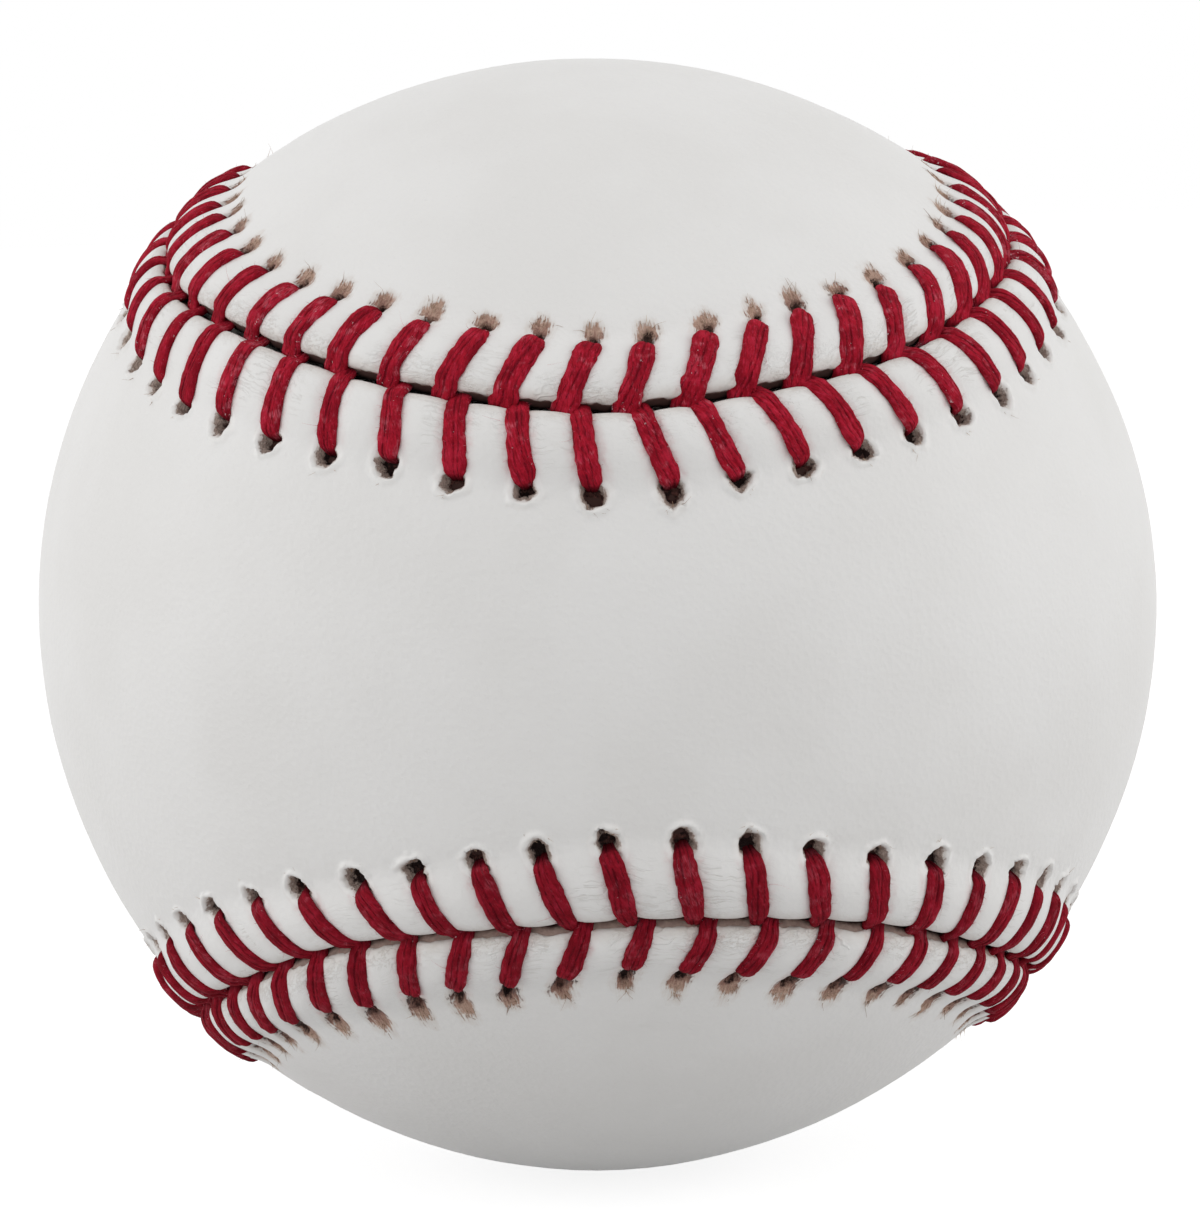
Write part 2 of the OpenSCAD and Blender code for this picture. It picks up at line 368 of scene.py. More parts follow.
class Shader:
    """The node tree of one material or of the world."""

    def __init__(self, owner):
        owner.use_nodes = True
        self.tree = owner.node_tree
        self.tree.nodes.clear()

    def node(self, kind, settings=None, inputs=None):
        """Makes a node, with values or links for its inputs, and gives its first output."""
        node = self.tree.nodes.new(kind)
        for name, value in (settings or {}).items():
            setattr(node, name, value)
        for name, value in (inputs or {}).items():
            socket = node.inputs[name]
            if isinstance(value, Expr):
                self.tree.links.new(value.socket, socket)
            else:
                socket.default_value = value
        return Expr(self, node.outputs[0]) if node.outputs else None

    def place(self):
        """The position on the object, in metres."""
        return self.node("ShaderNodeTexCoord").out("Object")

    def value(self, name):
        """A value that the mesh has at each vertex."""
        return self.node("ShaderNodeAttribute", {"attribute_name": name}).out("Fac")

    def split(self, vector):
        parts = self.node("ShaderNodeSeparateXYZ", {}, {"Vector": vector})
        return [parts.out(axis) for axis in ("X", "Y", "Z")]

    def join(self, x, y, z):
        return self.node("ShaderNodeCombineXYZ", {}, {"X": x, "Y": y, "Z": z})

    def seam_map(self):
        """U in stitches along the seam and V in millimetres from it, as the mesh gives them."""
        u, v, _ = self.split(self.node("ShaderNodeUVMap", {"uv_map": "seam"}))
        return u, v

    def lap_wave(self, u):
        """From 0.5 at the middle of the upper seam to -0.5 at the middle of the lower."""
        return (u * (2 * math.pi / STITCHES) + math.pi / 2).sine() * 0.5

    def noise(self, vector, scale, detail=2.0, roughness=0.5):
        return self.node("ShaderNodeTexNoise", {"noise_dimensions": "3D"},
                         {"Vector": vector, "Scale": scale, "Detail": detail,
                          "Roughness": roughness})

    def cells(self, vector, scale, feature="F1"):
        return self.node("ShaderNodeTexVoronoi", {"feature": feature},
                         {"Vector": vector, "Scale": scale})

    def chances(self, number):
        """Three even chances from 0 to 1 that differ with the number."""
        return self.split(self.node("ShaderNodeTexWhiteNoise", {"noise_dimensions": "1D"},
                                    {"W": number}).out("Color"))

    def mix(self, amount, first, second):
        """A colour from first, at 0, to second, at 1."""
        colours = {6: first, 7: second}
        inputs = {number: colour if isinstance(colour, Expr) else (*colour, 1)
                  for number, colour in colours.items()}
        return self.node("ShaderNodeMix", {"data_type": "RGBA"}, {0: amount, **inputs}).out(2)

    def bump(self, height, distance, strength=1.0, normal=None):
        inputs = {"Height": height, "Distance": distance, "Strength": strength}
        if normal is not None:
            inputs["Normal"] = normal
        return self.node("ShaderNodeBump", {}, inputs)

    def principled(self, **inputs):
        sockets = {name.replace("_", " ").title().replace("Ior", "IOR"): value
                   for name, value in inputs.items()}
        shader = self.node("ShaderNodeBsdfPrincipled", {}, sockets)
        self.node("ShaderNodeOutputMaterial", {}, {"Surface": shader})


def new_material(name):
    material = bpy.data.materials.new(name)
    return material, Shader(material)


# ---- Finishes ----

# Colours as red, green and blue: leather, suede and cut edge, then thread and loose fibres
WHITE_DULL, WHITE_BRIGHT = (0.795, 0.785, 0.770), (0.830, 0.822, 0.810)
PORE = (0.62, 0.60, 0.57)
CREASE_SHADE = (0.50, 0.44, 0.38)
WRINKLE_SHADE = (0.55, 0.47, 0.40)
DYE = (0.62, 0.30, 0.30)
ROLL_SHADE = (0.58, 0.515, 0.45)
GAP_SHADE = (0.36, 0.26, 0.22)
SUEDE_DEEP, SUEDE_RUST = (0.075, 0.038, 0.032), (0.350, 0.165, 0.120)
SUEDE_TAN = (0.600, 0.385, 0.290)
SUEDE_PALE = (0.60, 0.49, 0.38)
BACK_STAIN = (0.58, 0.49, 0.42)
FRONT_STAIN = (0.60, 0.51, 0.43)
LIP_HIGHLIGHT = (0.875, 0.865, 0.850)
TORN_DARK, TORN_LIGHT = (0.230, 0.145, 0.120), (0.560, 0.440, 0.370)
TORN_PALE = (0.66, 0.53, 0.41)
HOLE_SHADE_DEEP, HOLE_SHADE_LIGHT = (0.020, 0.009, 0.008), (0.200, 0.082, 0.066)
CORE_DARK, CORE_LIGHT = (0.24, 0.155, 0.135), (0.50, 0.38, 0.33)
CORE_LIT_LOWER = (0.62, 0.47, 0.41)
CORE_SHADE_DEEP = (0.075, 0.036, 0.030)
RED_DARK, RED_LIGHT = (0.250, 0.0035, 0.012), (0.480, 0.010, 0.030)
HAIR_LIGHT = (0.64, 0.040, 0.095)
HAIR_DARK = (0.170, 0.002, 0.009)
PATCH_DARK = (0.205, 0.002, 0.011)
PATCH_LIGHT = (0.600, 0.025, 0.060)
FURROW_SHADE = (0.085, 0.001, 0.006)
PLY_CREASE_SHADE = (0.110, 0.0015, 0.007)
LOWER_SHADE_RED = (0.060, 0.0015, 0.004)
SHADE_RED = (0.060, 0.001, 0.005)
WAX = (0.80, 0.55, 0.58)
FUZZ_DARK, PALE_RED = (0.42, 0.015, 0.045), (0.66, 0.16, 0.21)
TAN_DARK, TAN_LIGHT = (0.30, 0.18, 0.12), (0.58, 0.44, 0.33)


def leather_finish(side):
    """White cover leather: fine grain, painted shade on the roll and at the gap, dye by the legs,
    torn holes.
    """
    material, g = new_material("cover_leather_" + ("back" if side == BACK else "front"))
    place = g.place()
    u, v = g.seam_map()
    leg = (u + 0.5).floor()
    x = (u - leg) * PITCH
    hole, torn, beyond = g.value("hole"), g.value("torn"), g.value("beyond")
    chance_x, chance_v, chance_s = g.chances(leg + 0.5 * side)
    rough = g.noise(place, 1500.0, 3.0, 0.6) - 0.5
    ragged = g.noise(place, 3600.0, 3.0, 0.7) - 0.5
    streak = g.noise(g.join(x * 9.0, v * 1.2, leg * 3.1), 1.0, 3.0, 0.65) - 0.5

    # Leather: grain cells, pores and a faint cloudiness
    cloud = g.noise(place, 90.0, 3.0)
    grain = g.cells(place, 2300.0)
    pores = g.noise(place, 5200.0, 2.0)
    white = g.mix(cloud.step(0.3, 0.7), WHITE_DULL, WHITE_BRIGHT)
    white = g.mix(pores.step(0.60, 0.80) * 0.14, white, PORE)

    # Creases that follow the seam over the roll, and short ones that fan out by the legs; the
    # crease lines are bumped and painted darker as shade
    wander = g.noise(place, 500.0, 2.0)
    along = g.noise(g.join(u * 0.9 + leg * 0.37, v * 3.1 + wander * 3.2, chance_s * 9.0), 1.0, 2.0)
    creased = (abs(along - 0.5).step(0.035, 0.0) * v.step(4.6, 2.6) * v.step(0.25, 0.7)
               * (chance_v * 1.3 - 0.1).clamp() * g.noise(place, 300.0).step(0.42, 0.62))
    fan = g.noise(g.join(x * 1.2 + v * 0.8, v * 3.4 - x * 1.5 + wander * 2.0, leg * 1.7), 1.0, 2.0)
    fanned = abs(fan - 0.5).step(0.03, 0.0) * abs(x).step(1.9, 1.0) * v.step(3.0, 1.6) \
        * v.step(0.3, 0.9) * chance_x.step(0.35, 0.9)
    white = g.mix(creased * 0.26 + fanned * 0.16, white, CREASE_SHADE)
    # Wrinkles near the gap, bumped and painted darker as shade in their folds
    near_gap = v.step(0.15, 0.5) * (v.step(2.1, 0.9) if side == BACK else v.step(1.4, 0.6) * 0.4)
    crumple = g.noise(g.join(x * 1.5 + v * 0.9, v * 2.6 - x * 0.8, leg * 2.3), 1.0, 3.0, 0.6)
    wrinkle = abs(crumple - 0.5).step(0.055, 0.0) * near_gap \
        * g.noise(place, 260.0).step(0.40, 0.60)
    folds = g.noise(g.join(x * 0.45 + v * 0.5, v * 1.1 - x * 0.42, leg * 0.8), 1.0, 1.0)
    fold = abs(folds - 0.47).step(0.050, 0.0) * near_gap * chance_v.step(0.35, 0.75)
    white = g.mix(wrinkle * 0.30, white, WRINKLE_SHADE)

    # Dye along the legs, and painted shade on the roll and towards the gap
    by_leg = abs(x).step(1.35, 0.55) * v.step(5.0, 4.0)
    rolled = v.step(1.25, 0.1)
    dye = by_leg * ((rough + 0.5).step(0.42, 0.78) * 0.42 + 0.10) * (chance_s * 0.9 + 0.4)
    colour = g.mix(dye, white, DYE)
    # Painted shade on the rolled edge near the gap, and darker still right at the gap
    colour = g.mix(rolled * (rough * 0.9 + 0.42).clamp(), colour, ROLL_SHADE)
    upper = g.lap_wave(u) + 0.5
    colour = g.mix(v.step(0.42, 0.02) * (0.22 + rough), colour, GAP_SHADE)

    # Awl holes, with torn suede beyond them; away from the middle of the upper and the lower
    # seam the suede is paler and hides more of the hole
    pale = (1 - (upper * 2 - 1) * (upper * 2 - 1)).step(0.12, 0.72)
    if side == BACK:
        suede_edge = torn + streak * 1.5 + ragged * 0.7 + rough * 0.3
        suede = suede_edge.step(1.10, 0.76)
        tone = (beyond + streak * 1.2 + ragged * 0.7 + (chance_x - 0.5) * 0.25).clamp()
        suede_colour = g.mix(tone.step(0.0, 0.60), SUEDE_DEEP, SUEDE_RUST)
        suede_colour = g.mix(tone.step(0.48, 1.0), suede_colour, SUEDE_TAN)
        suede_colour = g.mix(pale * tone.step(0.2, 0.8) * 0.55, suede_colour, SUEDE_PALE)
        faint = (torn + rough * 1.3 + streak * 0.9).step(1.75, 0.95) * 0.34
        colour = g.mix(faint, colour, BACK_STAIN)
        colour = g.mix(suede * 0.92, colour, suede_colour)
        dark = (hole + ragged * 1.1 + rough * 0.6).step(1.20, 0.78) * (chance_v * 0.25 + 0.75)
    else:
        faint = (torn + rough * 1.2).step(1.75, 0.95) * 0.30
        colour = g.mix(faint, colour, FRONT_STAIN)
        # Painted highlight: the raised lip round each hole is painted whiter than the leather
        rim = torn.step(1.02, 1.16) * torn.step(1.75, 1.40)
        colour = g.mix(rim * (1 - pale * 0.8) * 0.75, colour, LIP_HIGHLIGHT)
        suede = (torn + ragged * 0.5 + rough * 0.5).step(1.04, 0.88)
        tone = (rough * 1.2 + ragged * 0.6 + 0.50).clamp()
        suede_colour = g.mix(tone, TORN_DARK, TORN_LIGHT)
        suede_colour = g.mix(pale * 0.65, suede_colour, TORN_PALE)
        colour = g.mix(suede * 0.90, colour, suede_colour)
        dark = (hole + pale * 0.32 + 0.12 + ragged * 0.7 + rough * 0.5).step(1.08, 0.86)
    # Painted shade inside the awl holes: near black, lightening in places to a dark red-brown
    inside = (ragged * 1.0 + rough * 0.8 + chance_s * 0.4).step(0.15, 0.65)
    colour = g.mix(dark, colour, g.mix(inside, HOLE_SHADE_DEEP, HOLE_SHADE_LIGHT))

    # Cut edge: a brown core, with painted shade that darkens it down into the gap, sooner at the
    # upper seam, and painted light that makes it paler at the lower seam
    core = (v + ragged * 0.10).step(0.03, -0.05)
    core_colour = g.mix((rough + ragged).step(-0.2, 0.25), CORE_DARK, CORE_LIGHT)
    core_colour = g.mix((1 - upper) * 0.55, core_colour, CORE_LIT_LOWER)
    depth = v * (1 + upper * 1.3) + ragged * 0.2 + (1 - upper) * 0.28
    core_colour = g.mix(depth.step(-0.10, -0.58), core_colour, CORE_SHADE_DEEP)
    colour = g.mix(core, colour, core_colour)

    height = grain * 0.55 + pores * 0.30 - creased * 1.8 - fanned * 1.3 - wrinkle * 2.2 + fold * 2.4
    normal = g.bump(height, 0.00010, 0.42)
    normal = g.bump((ragged + rough + streak) * suede, 0.00030, 0.9, normal)
    gloss = 0.52 + suede * 0.3 + dark * 0.15 + core * 0.3 + (cloud - 0.5) * 0.1
    g.principled(base_color=colour, roughness=gloss.clamp(), normal=normal,
                 specular_ior_level=0.30)
    return material


def thread_finish(name):
    """Waxed red yarn: fibres along two plies, creases and rims painted dark as shade, painted shade
    towards the lower seam, and pale flecks of wax.
    """
    material, g = new_material(name)
    place = g.place()
    u, v = g.seam_map()
    leg = (u + 0.5).floor()
    x = (u - leg) / RIM_U
    ply, shade = g.value("ply"), g.value("shade")
    chance_wax, chance_tone, chance_line = g.chances(leg + 0.25)
    twist = x * 0.72 + v * 0.20
    strands = g.noise(g.join(twist * 6.5, v * 1.0, leg * 3.7), 1.0, 3.0, 0.65)
    hairs = g.noise(g.join(twist * 17.0, v * 2.4, leg * 5.1), 1.0, 2.0, 0.6)
    fluff = g.noise(place, 3200.0, 3.0, 0.7)
    broad = g.noise(place, 750.0, 3.0, 0.6)
    colour = g.mix(strands.step(0.30, 0.70), RED_DARK, RED_LIGHT)
    colour = g.mix((hairs * 0.6 + fluff * 0.4).step(0.50, 0.66) * 0.55, colour, HAIR_LIGHT)
    colour = g.mix((hairs * 0.5 + fluff * 0.5).step(0.46, 0.34) * 0.60, colour, HAIR_DARK)
    colour = g.mix(broad.step(0.48, 0.66) * 0.50 + chance_tone * 0.15, colour, PATCH_DARK)
    colour = g.mix(broad.step(0.46, 0.32) * 0.45, colour, PATCH_LIGHT)

    # Creases: the long one between the plies and fainter ones in each ply, painted dark as shade,
    # with painted shade along the rims of the leg
    line = abs(ply + (hairs - 0.5) * 0.20).step(0.15, 0.01) * (broad + fluff - 0.5).step(0.36, 0.60)
    lesser = abs(abs(ply - 0.1 + (chance_line - 0.5) * 0.2) - 0.52 + (strands - 0.5) * 0.5)
    lesser = lesser.step(0.07, 0.0) * strands.step(0.65, 0.45)
    rim = abs(x).step(0.72, 1.0)
    colour = g.mix(line * 0.50, colour, FURROW_SHADE)
    colour = g.mix(lesser * 0.50 + rim * 0.25, colour, PLY_CREASE_SHADE)
    # Painted shade: the legs are darker towards the lower seam
    lower = 0.5 - g.lap_wave(u)
    colour = g.mix(lower * 0.36, colour, LOWER_SHADE_RED)
    colour = g.mix(shade * 0.85, colour, SHADE_RED)

    # Wax: small flecks near creases and rims, and on some legs a paler smear
    fleck = g.noise(place, 2300.0, 3.0, 0.8)
    likely = chance_wax * 0.08 + rim * 0.04 + line * 0.03 + v.step(1.2, 0.0) * 0.04 - lower * 0.05
    wax = (fleck + likely).step(0.715, 0.770) * (1 - shade)
    smear = (g.noise(place, 1400.0, 3.0) + chance_wax * 0.14).step(0.60, 0.76) * 0.55
    colour = g.mix(smear * hairs.step(0.35, 0.65) * (1 - lower * 0.6), colour, PALE_RED)
    colour = g.mix(wax * 0.80, colour, WAX)
    height = strands * 0.7 + hairs * 0.5 + fluff * 0.45 + wax * 0.3 - line * 0.6 - lesser * 0.5
    normal = g.bump(height, 0.00016, 0.85)
    g.principled(base_color=colour, roughness=(0.80 - wax * 0.25).clamp(), normal=normal,
                 specular_ior_level=0.10)
    return material


def hair_finish(name, dark, light):
    """Loose fibres in one colour range."""
    material, g = new_material(name)
    shade = g.noise(g.place(), 400.0, 1.0)
    g.principled(base_color=g.mix(shade.step(0.35, 0.65), dark, light), roughness=0.8,
                 specular_ior_level=0.1)
    return material


def cork_finish():
    """Pressed cork: grains of several browns with dark joints."""
    material, g = new_material("cork_granules")
    place = g.place()
    tone = g.split(g.cells(place, 900.0).out("Color"))[0]
    joints = g.cells(place, 900.0, "DISTANCE_TO_EDGE").step(0.07, 0.0)
    colour = g.mix(tone, (0.36, 0.20, 0.09), (0.62, 0.40, 0.20))
    colour = g.mix(joints * 0.8, colour, (0.12, 0.06, 0.03))
    fleck = g.noise(place, 3000.0, 3.0)
    colour = g.mix(fleck.step(0.62, 0.75) * 0.5, colour, (0.20, 0.11, 0.05))
    normal = g.bump(fleck * 0.5 - joints, 0.00015, 0.8)
    g.principled(base_color=colour, roughness=0.85, normal=normal)
    return material


def rubber_finish(name, colour, light):
    """Moulded rubber with a dusty bloom and fine specks."""
    material, g = new_material(name)
    place = g.place()
    bloom = g.noise(place, 220.0, 4.0)
    specks = g.noise(place, 2600.0, 2.0)
    base = g.mix(bloom.step(0.45, 0.75) * 0.5, colour, light)
    normal = g.bump(specks * 0.7 + bloom * 0.6, 0.00006, 0.7)
    g.principled(base_color=base, roughness=(0.55 + bloom * 0.2).clamp(), normal=normal)
    return material


def wool_finish(name, dark, light, yarn):
    """Yarn wound in many directions; yarn is its thickness in millimetres."""
    material, g = new_material(name)
    place = g.place()
    turn_x, turn_y, turn_z = g.split(g.cells(place, 70.0).out("Color"))
    px, py, pz = g.split(place)
    across = px * (turn_x - 0.5) + py * (turn_y - 0.5) + pz * (turn_z - 0.5)
    wobble = g.noise(place, 500.0, 2.0)
    wave = (across * (2 * math.pi * 1000 / yarn * 1.8) + wobble * 2.5).sine() * 0.5 + 0.5
    hairs = g.noise(place, 5000.0, 3.0)
    colour = g.mix((wave * 0.7 + hairs * 0.4).clamp(), dark, light)
    normal = g.bump(wave + hairs * 0.4, 0.00025, 0.9)
    g.principled(base_color=colour, roughness=0.9, normal=normal)
    return material


# ---- Leather panels ----

# Rows of the band by their distance from the seam, rows of the roll by their share of the way
# from the cut edge to the crest, and rows of the wall as [towards the panel, depth]
BAND_ROWS = np.r_[BAND_OFF, 7.3, 6.75, np.arange(6.42, 3.9, -0.14), 3.75, 3.45, 3.15,
                  2.85, 2.52, CREST_OFF]
ROLL_ROWS = np.array([0.88, 0.76, 0.64, 0.52, 0.40, 0.29, 0.19, 0.11, 0.045, 0.0])
WALL_ROWS = np.array([[0.03, 0.05], [0.02, 0.17], [-0.04, 0.36], [-0.12, 0.60], [-0.20, 0.90]])
FLESH_ROWS = ((1.3, 0.72), (5.6, 0.72), (7.0, LEATHER))    # distance from the seam, depth

HOLE_HALF = {BACK: 0.40, FRONT: 0.47}     # half the width of an awl hole
HOLE_DEPTH = {BACK: 0.50, FRONT: 0.65}
SUEDE_HALF = 0.76                         # half the width of the torn suede on the back panel
LIP_RISE = 0.23                           # leather pushed up beyond the front panel's holes
CLEAR = 9.0                               # what hole and torn are where neither is near
SMOOTH_V, FLESH_V = 40.0, -3.0            # V of the smooth leather and of the flesh side
SMOOTH_STEPS, FLESH_STEPS = 26, 10        # steps of a rung across a lobe
TAN_HAIRS = {BACK: 9, FRONT: 5}           # loose fibres at each hole


def unevenness(directions):
    """Height of the shallow waves in the smooth leather."""
    p = directions * BALL_R
    return 0.05 * value_noise(p, 9.0) + 0.02 * value_noise(p, 3.0)


class Panel:
    """One figure-eight panel: its leather, cut edge and flesh side, and loose tan fibres."""

    def __init__(self, side):
        self.side, self.legs = side, LEGS[side]
        self.parts = MeshParts(hole=CLEAR, torn=CLEAR, beyond=3.0)
        # The columns crowd round the legs; k is the nearest leg and x the length from it
        t = np.linspace(-1, 1, COLUMNS, endpoint=False)
        inside = 0.5 * (0.62 * t + 0.38 * t ** 3)
        self.column = (np.arange(STITCHES)[:, None] + inside).ravel()
        nearest = np.floor(self.column + 0.5).astype(int)
        self.x = (self.column - nearest) * PITCH
        self.k = nearest % STITCHES
        # Orders of a face's corners: as the band has them, and the other way round
        forward, backward = slice(None), slice(None, None, -1)
        self.banded, self.against = (backward, forward) if side == BACK else (forward, backward)

    def along(self, off):
        """Length along the seam of every column at a distance off from the seam line."""
        low = np.floor(self.column).astype(int)
        share = self.column - low
        return self.legs.at(low, off) * (1 - share) + self.legs.at(low + 1, off) * share

    def add_grid(self, ids, columns, v):
        corners, uv = grid_faces(ids, np.broadcast_to(columns, ids.shape), v)
        self.parts.add_faces(corners[:, self.banded], uv[:, self.banded])

    def build(self):
        inner_row, edge_row = self.band()
        self.smooth_side(inner_row)
        self.flesh_side(edge_row)
        self.loose_fibres()
        side = self.side
        name = "cover_panel_back_leather" if side == BACK else "cover_panel_front_leather"
        tan = hair_finish(name + "_fibre", TAN_DARK, TAN_LIGHT)
        piece = self.parts.build(name, [leather_finish(side), tan])
        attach(piece, "root")
        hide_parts("cover_panel_back" if side == BACK else "cover_panel_front")

    def band(self):
        """The fine band, row by row from the smooth leather to the foot of the cut edge."""
        side, x = self.side, self.x
        by_edge = np.full_like(x, 0.3)
        place = beside_seam(self.along(by_edge), side * by_edge) * BALL_R
        edge = edge_line(x) + 0.055 * value_noise(place, 0.6) + 0.040 * value_noise(place, 0.28)
        off = np.array([np.full_like(x, row) for row in BAND_ROWS]
                       + [edge + (CREST_OFF - edge) * row ** 1.25 for row in ROLL_ROWS])
        s = self.along(off)
        place = beside_seam(s, side * off) * BALL_R
        coarse, fine, rough = (value_noise(place, size) for size in (2.6, 0.7, 0.33))
        height = leather_height(x, off, self.legs.pull[self.k])
        height += 0.030 * coarse * smooth_step(6.5, 4.5, off)
        height += 0.018 * fine * np.exp(-(x / 1.2) ** 2) * smooth_step(5.8, 4.8, off)
        height, values = self.awl_holes(off, height, fine, rough)

        # Wall of the cut edge, closing towards the other panel's below
        toward, depth = WALL_ROWS[:, :1], WALL_ROWS[:, 1:]
        wall = edge + toward
        place = beside_seam(self.along(wall), side * wall) * (BALL_R + 7 * depth[..., None])
        wall = wall + 0.04 * value_noise(place, 0.3)
        height = np.vstack([height, height[-1] - depth])
        v = np.vstack([off, np.broadcast_to(-depth, wall.shape)])
        s, off = np.vstack([s, self.along(wall)]), np.vstack([off, wall])
        values = {name: np.vstack([value, np.full(wall.shape, CLEAR)])
                  for name, value in values.items()}
        points = beside_seam(s, side * off) * (BALL_R + height[..., None])
        ids = self.parts.add_points(points, **values).reshape(off.shape)
        self.add_grid(ids, self.column, v)

        # Coarse columns, and the one at the tip of a lobe, where the rungs start
        self.start = s[0, ::COARSE]
        tip = 0.0 if side == BACK else SEAM_LENGTH / 4
        to_tip = np.mod(self.start - tip + SEAM_LENGTH / 2, SEAM_LENGTH) - SEAM_LENGTH / 2
        self.first = int(np.argmin(np.abs(to_tip)))
        return ids[0], ids[-1]

    def ring(self, off):
        """The way to each coarse column at a distance off from the seam line."""
        return beside_seam(self.start, self.side * np.full(len(self.start), off))

    def awl_holes(self, off, height, fine, rough):
        """Sinks the holes into the band and gives the height with three values for the material.

        hole and torn are 1 at the rims of each hole and of its torn suede, and beyond runs
        outwards over the suede.
        """
        side, legs, k = self.side, self.legs, self.k
        end, dark, torn, upper = legs.end[k], legs.dark[k], legs.torn[k], legs.upper[k]
        aside = self.x - legs.aside[k]
        jag = legs.raggedness[k] * (0.22 * fine + 0.24 * rough)
        middle, half = (dark + end - 0.15) / 2, (dark - end + 0.15) / 2
        turn = np.arctan2(aside, off - middle)
        corner = (1 - np.abs(np.sin(1.5 * turn + legs.corner[k]))) ** 1.6
        hole = np.hypot(aside / HOLE_HALF[side], (off - middle) / half) + jag - 0.26 * corner
        if side == BACK:
            suede_middle, suede_half = (torn + end + 0.1) / 2, (torn - end - 0.1) / 2
            ring = np.hypot((self.x - 0.5 * legs.aside[k]) / SUEDE_HALF,
                            (off - suede_middle) / suede_half) + 0.8 * jag
            height = height - (0.09 * smooth_step(1.15, 0.7, ring)
                               - 0.045 * rough * smooth_step(1.2, 0.8, ring))
            rim, floor = 1.15, 0.75
        else:
            ring = np.hypot((aside + 0.06) / (HOLE_HALF[side] + 0.17),
                            (off - middle) / (half + 0.19)) + 0.6 * jag - 0.16 * corner
            lip = np.exp(-((ring - 1.26) / 0.20) ** 2) * smooth_step(-0.6, 0.5, off - middle)
            height = height + (LIP_RISE * lip + 0.04 * rough * smooth_step(1.7, 1.1, ring))
            height = height - 0.10 * smooth_step(1.2, 0.9, ring)
            rim, floor = 1.08, 0.82
        height = height - HOLE_DEPTH[side] * smooth_step(rim, floor, hole)
        beyond = (0.55 * (off - end) - 0.15) * (1 - upper) + (0.40 * (off - end) + 0.40) * upper
        return height, {"hole": hole, "torn": ring, "beyond": beyond}

    def join_coarse(self, fine_ids, coarse_ids, v_fine, v_coarse, order):
        """One face for each coarse column, with every fine vertex along one side."""
        column = self.column
        groups = np.arange(len(fine_ids)).reshape(-1, COARSE)
        ends = np.roll(groups[:, 0], -1)
        corners = np.concatenate([fine_ids[groups], fine_ids[ends][:, None],
                                  np.roll(coarse_ids, -1)[:, None], coarse_ids[:, None]], 1)
        far = (column[ends] + np.where(ends == 0, float(STITCHES), 0.0))[:, None]
        u = np.concatenate([column[groups], far, far, column[groups[:, :1]]], 1)
        v = np.concatenate([np.full((len(groups), COARSE + 1), v_fine),
                            np.full((len(groups), 2), v_coarse)], 1)
        self.parts.add_faces(corners[:, order], np.stack([u, v], -1)[:, order])

    def ladder(self, ring_ids, ring_directions, steps, depth, v_far, order):
        """Rungs across the panel from one side of its seam to the other, from tip to tip."""
        count, first = len(ring_ids), self.first
        half = count // 2
        j = np.arange(1, half)
        left, right = (first + j) % count, (first - j) % count
        a, b = ring_directions[left], ring_directions[right]
        w = np.arccos(np.clip((a * b).sum(-1), -1, 1))[:, None, None]
        t = (np.arange(1, steps) / steps)[None, :, None]
        rungs = unit((a[:, None] * np.sin((1 - t) * w) + b[:, None] * np.sin(t * w)) / np.sin(w))
        radius = np.full(rungs.shape[:2], BALL_R - depth)
        if depth == 0:
            reach = RING_OFF + np.minimum(t, 1 - t)[..., 0] * w[..., 0] * BALL_R
            radius = BALL_R + (unevenness(rungs) + swelling(reach))
        table = np.empty((half + 1, steps + 1), int)
        inner = self.parts.add_points(rungs * radius[..., None])
        table[1:half, 1:steps] = inner.reshape(half - 1, steps - 1)
        table[1:half, 0], table[1:half, steps] = ring_ids[left], ring_ids[right]
        table[0, :], table[half, :] = ring_ids[first], ring_ids[(first + half) % count]
        i, m = np.meshgrid(np.arange(1, half - 1), np.arange(steps), indexing="ij")
        i, m = i.ravel(), m.ravel()
        quads = np.stack([table[i, m], table[i + 1, m], table[i + 1, m + 1], table[i, m + 1]], -1)
        m = np.arange(steps)
        near_tip, far_tip = np.full(steps, table[0, 0]), np.full(steps, table[half, 0])
        tips = np.concatenate([
            np.stack([near_tip, table[1, m], table[1, m + 1]], -1),
            np.stack([table[half - 1, m], far_tip, table[half - 1, m + 1]], -1)])
        for faces in (quads, tips):
            self.parts.add_faces(faces[:, order], np.full((*faces.shape, 2), (0.5, v_far)))

    def smooth_side(self, inner_row):
        """The smooth leather inside the band, across to the other side's band."""
        directions = self.ring(RING_OFF)
        height = swelling(RING_OFF) + unevenness(directions)
        ids = self.parts.add_points(directions * (BALL_R + height[:, None]))
        self.join_coarse(inner_row, ids, BAND_OFF, RING_OFF, self.against)
        self.ladder(ids, directions, SMOOTH_STEPS, 0, SMOOTH_V, self.against)

    def flesh_side(self, edge_row):
        """From the foot of the cut edge down on to the last winding."""
        last = None
        for off, depth in FLESH_ROWS:
            directions = self.ring(off)
            ids = self.parts.add_points(directions * (BALL_R - depth))
            if last is None:
                self.join_coarse(edge_row, ids, -WALL_ROWS[-1, 1], -2.0, self.banded)
            else:
                pair = np.stack([last, ids])
                self.add_grid(pair, self.column[::COARSE], np.full(pair.shape, FLESH_V))
            last = ids
        self.ladder(last, directions, FLESH_STEPS, LEATHER, FLESH_V, self.banded)

